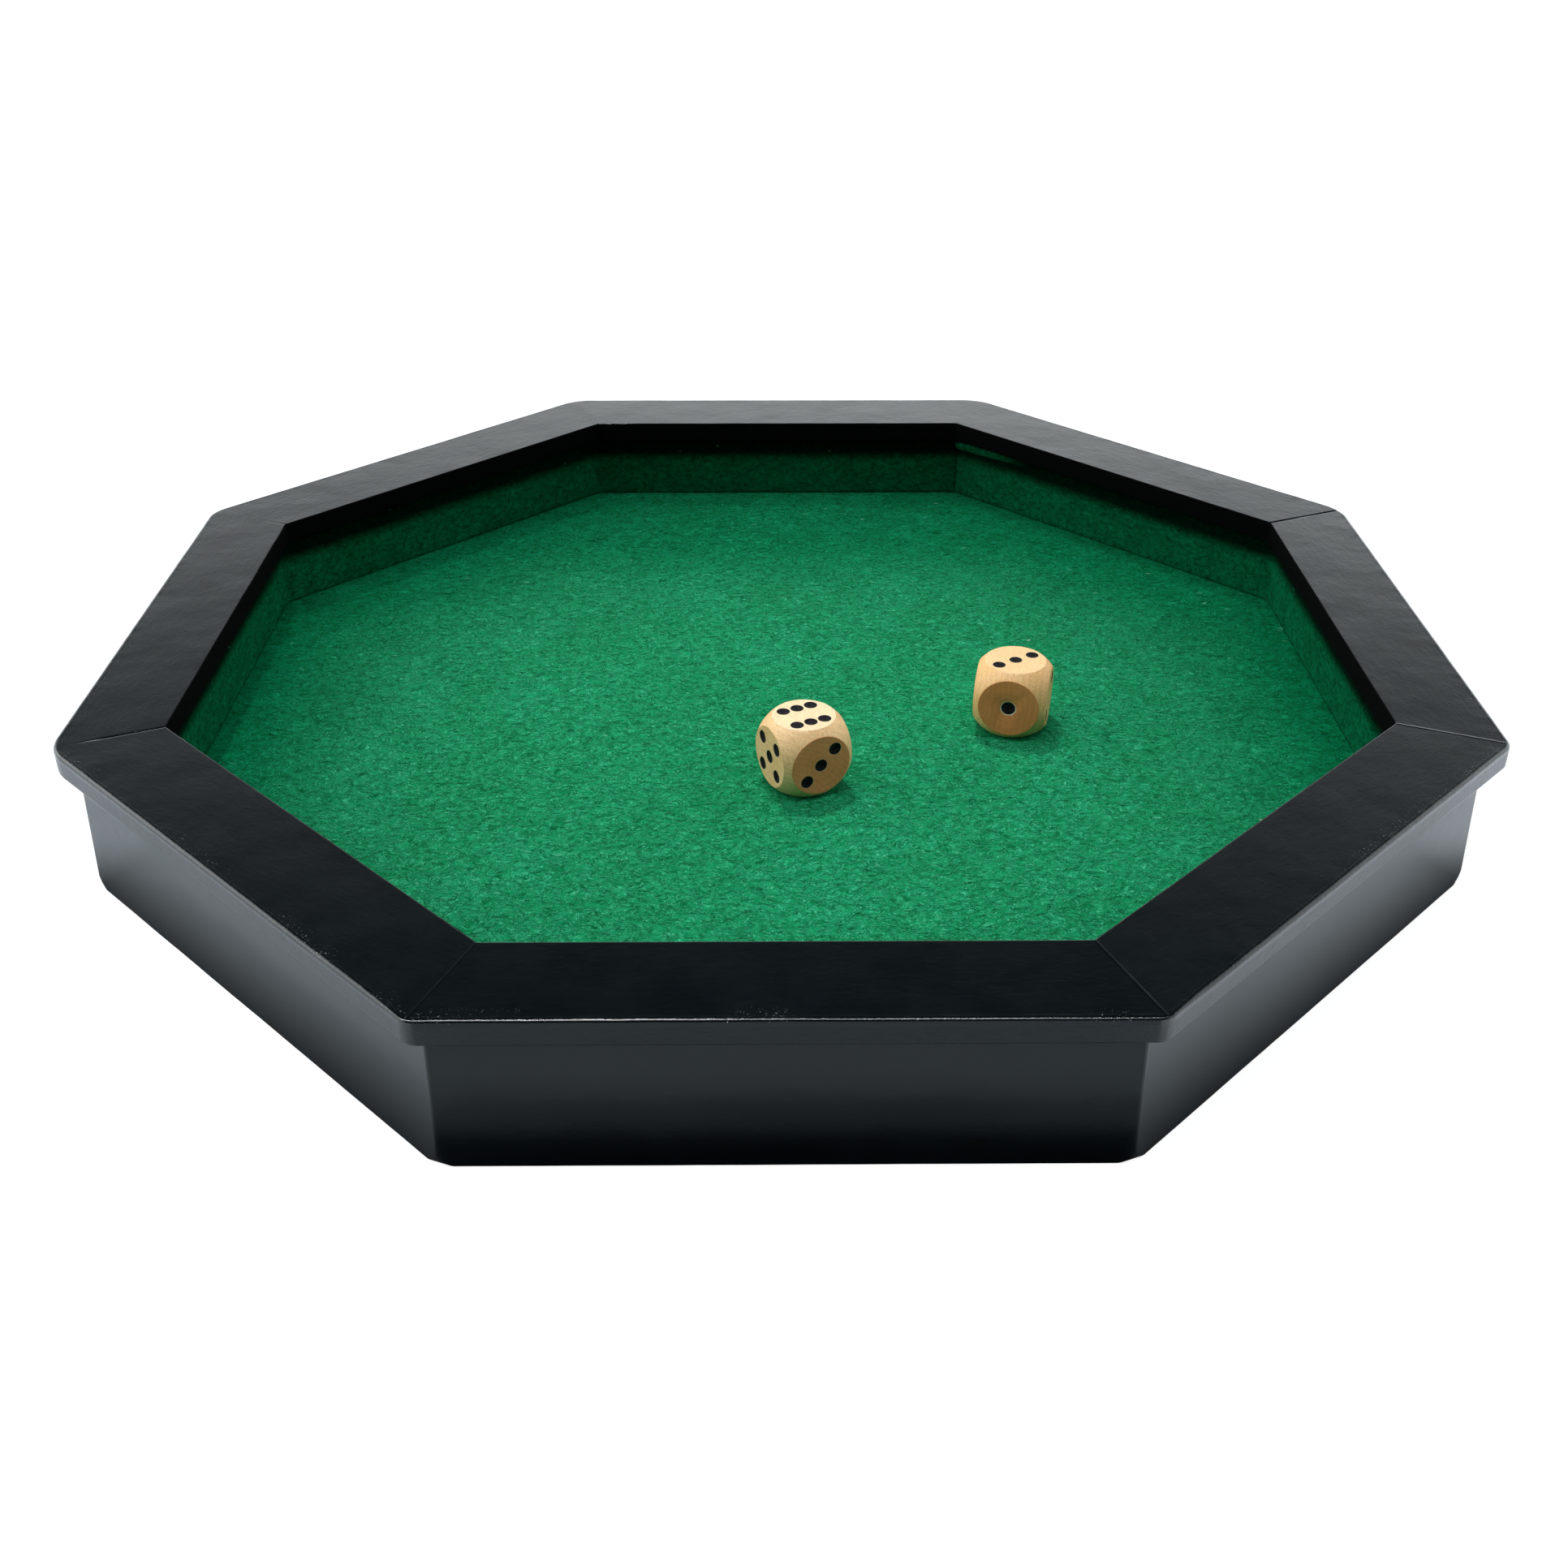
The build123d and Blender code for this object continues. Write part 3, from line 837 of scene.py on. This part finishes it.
bm = bmesh.new()
bmesh.ops.create_grid(bm, x_segments=STRIP_CELLS_LONG, y_segments=STRIP_CELLS_HIGH, size=0.5)
strip_map = bm.loops.layers.uv.new("strip")
strip_height = strip_high.z - strip_low.z
for face in bm.faces:
    for loop in face.loops:
        share, up = loop.vert.co.x + 0.5, loop.vert.co.y + 0.5
        loop[strip_map].uv = (share * STRIP_LENGTH, up * strip_height)
for v in bm.verts:
    share, up = v.co.x + 0.5, v.co.y + 0.5
    run = SEAM_GAP / 2 + share * (STRIP_LENGTH - SEAM_GAP)
    place_at, face = along_strip(run)
    uneven = (wobble(Vector((run, 0, 5)), 26 * MM, 0.45 * MM)
              + wobble(Vector((run, 0, 9)), 5 * MM, 0.12 * MM))
    height_at = strip_height - PLAY_UNDER_RAILS + uneven
    z = strip_low.z + up * height_at
    spot = Vector((run, z, 0))
    sway = wobble(spot, 22 * MM, 0.25 * MM) + wobble(spot, 2.2 * MM, 0.10 * MM)
    inward = LEAST_INWARD + abs(sway)
    peel = math.exp(-(run / PEEL_REACH) ** 2) * smooth_step(up, 0.84, 1.0) * PEEL
    v.co = place_at - face * (inward + peel)
    v.co.z = z
bmesh.ops.recalc_face_normals(bm, faces=bm.faces[:])
felt_strip = mesh_object("felt_strip", bm, painted_shade_strip_green, smooth_angle=math.radians(50))
first = felt_strip.data.polygons[0]
faces_out = first.normal.dot(Vector((first.center.x, first.center.y, 0))) > 0
body = felt_strip.modifiers.new("thickness", "SOLIDIFY")
body.thickness = STRIP_THICKNESS
body.offset = -1 if faces_out else 1
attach(felt_strip, "tray")
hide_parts("wall_felt")
print("wall felt of", len(felt_strip.data.polygons), "faces")

# %% [markdown]
# ## Loose hairs
# On top of the mat lie single hairs that catch the light. Each is a spindle with four sides,
# pointed at both ends. All of them are made together: a grid's cells are split apart, each cell
# shrinks to the start of a hair, and extrude_discrete_faces draws them all out at once.

# %% Hairs on the floor
HAIR_COLUMNS = 100
HAIR_THICKNESS = 0.11 * MM
HAIR_RINGS = 4
hair_random = random.Random(11)


def inside_octagon(spot, apothem):
    return all(spot.dot(outward(side)) < apothem for side in range(len(SIDE_NAMES)))


bm = bmesh.new()
bmesh.ops.create_grid(bm, x_segments=HAIR_COLUMNS, y_segments=HAIR_COLUMNS, size=felt_half)
hair_reach = felt_half - 2 * MM
off_felt = [face for face in bm.faces if not inside_octagon(face.calc_center_median(), hair_reach)]
bmesh.ops.delete(bm, geom=off_felt, context="FACES")
bmesh.ops.split_edges(bm, edges=bm.edges[:])
hairs = []
hair_number = bm.faces.layers.int.new("hair")
for number, face in enumerate(bm.faces):
    face[hair_number] = number
    jitter = Vector((hair_random.uniform(-1, 1), hair_random.uniform(-1, 1), 0)) * 1.2 * MM
    root = face.calc_center_median() + jitter
    heading = hair_random.gauss(0, 0.75) + 0.5 * noise.noise(root / (9 * MM))
    length = hair_random.uniform(1.2, 3.2) * MM
    curl = hair_random.uniform(-0.5, 0.5)
    lift = hair_random.uniform(0.02, 0.12) * MM
    hairs.append((root, heading, length, curl, lift))
    for v in face.verts:
        v.co = root + Vector((0, 0, FLOOR_TOP - 0.15 * MM))
rings = bm.faces[:]
for ring in range(1, HAIR_RINGS + 1):
    rings = bmesh.ops.extrude_discrete_faces(bm, faces=rings)["faces"]
    share = ring / HAIR_RINGS
    for face in rings:
        root, heading, length, curl, lift = hairs[face[hair_number]]
        angle = heading + curl * (share - 0.5)
        way = Vector((math.cos(angle), math.sin(angle), 0))
        across = Vector((-way.y, way.x, 0))
        centre = root + way * (length * share)
        arch = lift * math.sin(math.pi * share)
        centre.z = FLOOR_TOP + nap_height(Vector((centre.x, centre.y, 0))) + arch + 0.02 * MM
        thick = 0 if ring == HAIR_RINGS else HAIR_THICKNESS / 2
        corners = (across * thick, Vector((0, 0, thick)), -across * thick, Vector((0, 0, -thick)))
        for v, corner in zip(face.verts, corners):
            v.co = centre + corner
bmesh.ops.remove_doubles(bm, verts=bm.verts[:], dist=1e-7)
bmesh.ops.recalc_face_normals(bm, faces=bm.faces[:])
felt_hairs = mesh_object("felt_hairs", bm, hair_green, smooth_angle=math.radians(120))
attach(felt_hairs, "tray")
print(len(hairs), "hairs of", len(felt_hairs.data.polygons) // max(len(hairs), 1), "faces each")

# %% [markdown]
# ## The felts as sheets
# Both felts were cut from flat cloth, and here their flat areas are worked out.

octagon_area = 8 * MITRE_SLOPE * felt_half ** 2
strip_area = strip_height * STRIP_LENGTH
print("sheets of", round(octagon_area * 1e4), "and", round(strip_area * 1e4), "square cm")

# %% [markdown]
# ## Wooden dice
# A wooden die is tumbled until only discs of its six faces are left flat: it is the part of a
# cube that also lies in a ball. A fine icosphere is cut by six planes, as on a disc sander, and
# each cut is filled. A cube with rounded edges would look alike from afar, but its flats would be
# square. Each pip is then drilled by the cap of a ball, and painted black inside a thin bare edge.
#
# The wood's year rings are distances from an axis outside the die, bent by noise, and its pores
# are short dashes along the grain. The discs keep the round marks of the sander. The end-grain
# discs are darker, partly as end grain is and partly as painted shade, and the top and bottom
# discs are painted paler, as a painted sheen.

# %% Wood finish
DIE_SIZE = 16.0 * MM


def wood_finish(name, centre, turn, ring_shift, shades, sanded):
    """Pale close-grained wood, its grain from the front disc to the back one."""
    material, place = begin_finish(name)
    centred = place.stretched((1, 1, 1), shift=tuple(-c / MM for c in centre))
    local = centred.stretched((1, 1, 1), turn=(0, 0, -turn))
    turned = local.stretched((1, 1, 1), turn=(math.radians(90), 0, 0), shift=ring_shift)
    flat = turned.node("VectorMath", {"operation": "MULTIPLY"}, {0: turned, 1: (1, 1, 0.06)})
    bent = flat.node("TexNoise", {}, {"Vector": flat, "Scale": 0.22, "Detail": 2}, "Color")
    ringed = flat.node("VectorMath", {"operation": "MULTIPLY_ADD"}, {0: bent, 1: (1.6, 1.6, 0), 2: flat})
    distance = ringed.node("VectorMath", {"operation": "LENGTH"}, {0: ringed}, "Value")
    rings = (distance * 5.2).of("SINE") * 0.5 + 0.5
    fibre = turned.stretched((3.2, 3.2, 0.5)).cloud(1.0, 4, 0.65)
    dashes = turned.stretched((5.0, 5.0, 1.4)).cloud(1.0, 1, 0.5).rise(0.58, 0.66)
    soft = local.cloud(0.16, 2)
    # on a disc this is the distance from its middle, and on the ball it doesn't change
    from_middle = (local.node("VectorMath", {"operation": "DOT_PRODUCT"}, {0: local, 1: local}, "Value")
                   - (DIE_SIZE / MM / 2) ** 2).at_least(0) ** 0.5
    sander_marks = from_middle.node("TexNoise", {"noise_dimensions": "1D"},
                                    {"W": from_middle, "Scale": 1.6, "Detail": 3})
    tone = (rings * 0.16 + fibre.rise(0.36, 0.64) * 0.39 + soft.rise(0.3, 0.7) * 0.20
            + sander_marks.rise(0.3, 0.7) * 0.25)
    wood = tone.blend(*shades)
    on_disc = DIE_SIZE / MM / 2 - 0.12, DIE_SIZE / MM / 2 - 0.02
    end_grain_and_shade = turned.part("Z").of("ABSOLUTE").rise(*on_disc)
    # partly painted shade: end grain is darker, and this tint deepens it and takes out green to stand
    # for the shade on the front disc
    wood = wood.tinted(end_grain_and_shade.blend((1, 1, 1), (0.93, 0.56, 0.46)))
    # painted sheen: the top and bottom discs are blended towards the paler colour passed as sanded
    wood = (local.part("Z").of("ABSOLUTE").rise(*on_disc) * 0.6).blend(wood, sanded)
    height = fibre - dashes * 0.5 + sander_marks * 0.6
    end_finish(place, {
        "Base Color": (dashes * 0.40).blend(wood, (0.40, 0.19, 0.060)),
        "Roughness": 0.42 + fibre * 0.16,
        "IOR": 1.45,
        "Normal": height.bump(0.05 * MM, 0.6),
    })
    return material


def pip_finish():
    """Black paint in the drilled pips, a little thin in places."""
    material, place = begin_finish("pip_paint")
    worn = place.cloud(1.8, 3)
    end_finish(place, {
        "Base Color": worn.rise(0.4, 0.7).blend((0.004, 0.004, 0.006), (0.020, 0.018, 0.020)),
        "Roughness": 0.6 + worn * 0.2,
        "Specular IOR Level": 0.08,
        "Normal": worn.bump(0.03 * MM, 0.5),
    })
    return material


def bare_edge_finish():
    """The pale burnished edge round a pip, where the paint stops."""
    material, place = begin_finish("bare_edge")
    uneven = place.cloud(2.5, 3)
    end_finish(place, {
        "Base Color": uneven.rise(0.3, 0.7).blend((0.52, 0.41, 0.27), (0.82, 0.70, 0.52)),
        "Roughness": 0.5 + uneven * 0.2,
        "Normal": uneven.bump(0.02 * MM, 0.3),
    })
    return material


pip_paint = pip_finish()
bare_edge = bare_edge_finish()
print("wood, pip paint and bare edge are ready")

# %% Shape of a die
DIE_BALL_RADIUS = 10.4 * MM
PIP_SPACING = 3.2 * MM
PIP_RADIUS, ACE_RADIUS = 1.45 * MM, 1.80 * MM  # to the outside of the bare edge
PIP_DEPTH = 0.35 * MM
PAINTED_SHARE = 0.92  # of a pip's radius
PIPS = {
    1: ((0, 0),),
    2: ((-1, -1), (1, 1)),
    3: ((-1, -1), (0, 0), (1, 1)),
    4: ((-1, -1), (-1, 1), (1, -1), (1, 1)),
    5: ((-1, -1), (-1, 1), (0, 0), (1, -1), (1, 1)),
    6: ((-1, -1), (0, -1), (1, -1), (-1, 1), (0, 1), (1, 1)),
}
FACES = {
    "up": ((0, 0, 1), (1, 0, 0)),
    "down": ((0, 0, -1), (1, 0, 0)),
    "front": ((0, -1, 0), (1, 0, 0)),
    "back": ((0, 1, 0), (-1, 0, 0)),
    "right": ((1, 0, 0), (0, 1, 0)),
    "left": ((-1, 0, 0), (0, -1, 0)),
}


def die_blank():
    """A ball with six flats, around the origin."""
    bm = bmesh.new()
    bmesh.ops.create_icosphere(bm, subdivisions=6, radius=DIE_BALL_RADIUS)
    for way, _ in FACES.values():
        flat = Vector(way)
        cut = bmesh.ops.bisect_plane(bm, geom=bm.verts[:] + bm.edges[:] + bm.faces[:], dist=1e-7,
                                     plane_co=flat * DIE_SIZE / 2, plane_no=flat, clear_outer=True)
        loop = [part for part in cut["geom_cut"] if isinstance(part, bmesh.types.BMEdge)]
        bmesh.ops.edgeloop_fill(bm, edges=loop)
    bmesh.ops.recalc_face_normals(bm, faces=bm.faces[:])
    return bm


def pip_places(numbers):
    """Middle, outward direction and radius of each pip, around the origin."""
    for face, number in numbers.items():
        way, side = (Vector(part) for part in FACES[face])
        rise = way.cross(side)
        radius = ACE_RADIUS if number == 1 else PIP_RADIUS
        for u, v in PIPS[number]:
            yield way * DIE_SIZE / 2 + (side * u + rise * v) * PIP_SPACING, way, radius


def pip_drill(numbers):
    """All the balls that drill a die's pips."""
    bm = bmesh.new()
    for middle, way, radius in pip_places(numbers):
        ball = (radius ** 2 + PIP_DEPTH ** 2) / (2 * PIP_DEPTH)
        facing = way.to_track_quat("Z", "Y").to_matrix().to_4x4()
        seat = Matrix.Translation(middle + way * (ball - PIP_DEPTH)) @ facing
        made = bmesh.ops.create_uvsphere(bm, u_segments=32, v_segments=48, radius=ball, matrix=seat)
        for face in {face for v in made["verts"] for face in v.link_faces}:
            spot = face.calc_center_median() - middle
            aside = (spot - way * spot.dot(way)).length
            face.material_index = 0 if aside < radius * PAINTED_SHARE else 1
    return bm


print("a die has", sum(1 for _ in pip_places(dict(zip(FACES, PIPS)))), "pips")

# %% Two dice
def make_die(node, turn, numbers, ring_shift, shades, sanded):
    low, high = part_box(node)
    centre = (low + high) / 2
    wood = wood_finish(f"wood_{node}", centre, turn, ring_shift, shades, sanded)
    blank = mesh_object("blank", die_blank(), wood)
    drill = mesh_object("drill", pip_drill(numbers), pip_paint, bare_edge)
    cut = blank.modifiers.new("pips", "BOOLEAN")
    cut.operation, cut.solver, cut.object = "DIFFERENCE", "EXACT", drill
    cut.material_mode = "TRANSFER"
    shaped = bpy.data.meshes.new_from_object(blank.evaluated_get(bpy.context.evaluated_depsgraph_get()))
    for spare in (blank, drill):
        bpy.data.objects.remove(spare)
    finishes = shaped.materials[:]
    bm = bmesh.new()
    bm.from_mesh(shaped)
    place_die = Matrix.Translation(centre) @ Matrix.Rotation(turn, 4, "Z")
    bmesh.ops.transform(bm, verts=bm.verts, matrix=place_die)
    die = mesh_object(f"{node}_body", bm, *finishes, smooth_angle=math.radians(22))
    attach(die, node)
    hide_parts(node)
    print(node, "has", len(die.data.polygons), "faces")
    return die


# the last colour of each die is the painted sheen of its top and bottom discs
LEFT_TURN, RIGHT_TURN = math.radians(26.0), math.radians(-14.8)
make_die("die_left", LEFT_TURN, {"up": 6, "down": 1, "front": 3, "back": 4, "right": 2, "left": 5},
         (9, -14, 0), ((0.74, 0.41, 0.155), (1.0, 0.69, 0.350)), (0.92, 0.76, 0.50))
make_die("die_right", RIGHT_TURN, {"up": 3, "down": 4, "front": 1, "back": 6, "right": 2, "left": 5},
         (60, 3, 0), ((0.68, 0.36, 0.115), (1.0, 0.62, 0.260)), (0.93, 0.62, 0.33))
